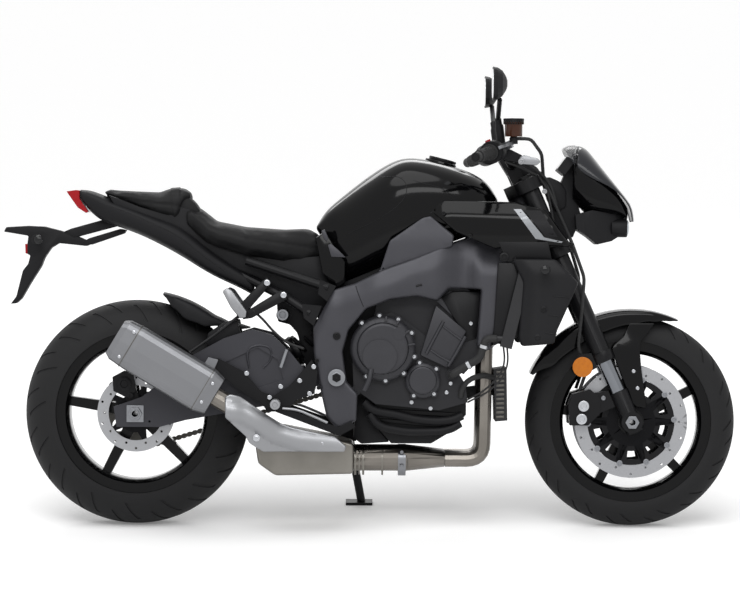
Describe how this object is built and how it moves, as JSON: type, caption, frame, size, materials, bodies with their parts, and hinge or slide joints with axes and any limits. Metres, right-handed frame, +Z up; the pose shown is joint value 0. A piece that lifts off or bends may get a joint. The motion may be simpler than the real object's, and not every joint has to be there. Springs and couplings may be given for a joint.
{
  "type": "standard motorcycle",
  "caption": "Naked road motorcycle leaning on its side stand, with twin-spar frame, upright handlebar, under-engine exhaust and side silencer.",
  "frame": {"origin": "on the ground, under the middle of the parked machine's bounding box", "axes": "+X towards the front wheel, +Y to the rider's left, +Z up"},
  "size_m": [2.0901, 0.8438, 1.3373],
  "materials": {
    "tyre_rubber": "matte",
    "black_alloy": "satin",
    "frame_alloy": "satin",
    "black_tube": "satin",
    "steel": "brushed",
    "stainless": "satin",
    "bright_tube": "polished",
    "dark_steel": "satin",
    "core_alloy": "satin",
    "gloss_black": "gloss",
    "matte_black": "matte",
    "saddle_vinyl": "matte",
    "soft_rubber": "matte",
    "smoked_screen": "gloss",
    "red_lens": "gloss",
    "amber_lens": "gloss",
    "brown_cup": "gloss"
  },
  "bodies": {
    "chassis": {"frame_spars": "frame_alloy", "frame_head": "frame_alloy", "swingarm": "frame_alloy", "swingarm_pivot": "steel", "rear_axle": "steel", "chain": "steel", "rear_mudguard": "matte_black", "shock": "dark_steel", "subframe": "dark_steel", "pillion_hangers": "frame_alloy", "rider_hangers": "black_alloy", "engine_block": "frame_alloy", "engine_covers": "frame_alloy", "oil_pan": "frame_alloy", "radiator": "core_alloy", "radiator_shrouds": "matte_black", "exhaust_headers": "stainless", "exhaust_box": "stainless", "exhaust_link": "stainless", "exhaust_shield": "stainless", "muffler": "stainless", "fuel_tank": "gloss_black", "tank_covers": "gloss_black", "rider_seat": "saddle_vinyl", "pillion_seat": "saddle_vinyl", "tail_cowl": "matte_black", "tail_lamp": "red_lens", "plate_bracket": "matte_black", "signals": "amber_lens", "rear_caliper": "black_alloy", "stand_lug": "dark_steel", "coolant_hoses": "soft_rubber"},
    "steering": {"fork_tubes": "black_tube", "fork_feet": "black_alloy", "fork_sliders": "bright_tube", "yokes": "black_alloy", "handlebar": "dark_steel", "grips": "soft_rubber", "switches": "matte_black", "levers": "core_alloy", "mirrors": "gloss_black", "brake_reservoir": "brown_cup", "meter": "matte_black", "windscreen": "smoked_screen", "nose_cowl": "gloss_black", "headlamp": "matte_black", "front_mudguard": "gloss_black", "front_calipers": "black_alloy", "reflectors": "amber_lens", "front_axle": "black_alloy", "brake_hoses": "soft_rubber"},
    "front_wheel": {"front_wheel": "black_alloy", "front_tyre": "tyre_rubber", "front_discs": "steel"},
    "rear_wheel": {"rear_wheel": "black_alloy", "rear_tyre": "tyre_rubber", "rear_disc": "steel", "rear_sprocket": "steel"},
    "side_stand": {"side_stand": "dark_steel"},
    "fuel_cap": {"fuel_cap": "black_alloy"}
  },
  "joints": [
    {"name": "steering", "type": "hinge", "parent": "chassis", "child": "steering", "pos_m": [0.47604, -0.05575, 0.82644], "axis": [-0.4067, 0.1429, 0.9023], "range_deg": [-28, 28]},
    {"name": "front_wheel_spin", "type": "hinge", "parent": "steering", "child": "front_wheel", "pos_m": [0.74606, -0.13969, 0.29649], "axis": [0, 0.9877, -0.1564], "continuous": true},
    {"name": "rear_wheel_spin", "type": "hinge", "parent": "chassis", "child": "rear_wheel", "pos_m": [-0.65894, -0.13656, 0.31624], "axis": [0, 0.9877, -0.1564], "continuous": true},
    {"name": "side_stand_fold", "type": "hinge", "parent": "chassis", "child": "side_stand", "pos_m": [-0.05716, 0.02557, 0.22764], "axis": [0, 0.9679, 0.2514], "range_deg": [0, 100]},
    {"name": "fuel_cap_lid", "type": "hinge", "parent": "chassis", "child": "fuel_cap", "pos_m": [0.24277, -0.02506, 1.02026], "axis": [0, 0.9877, -0.1564], "range_deg": [0, 90]}
  ]
}
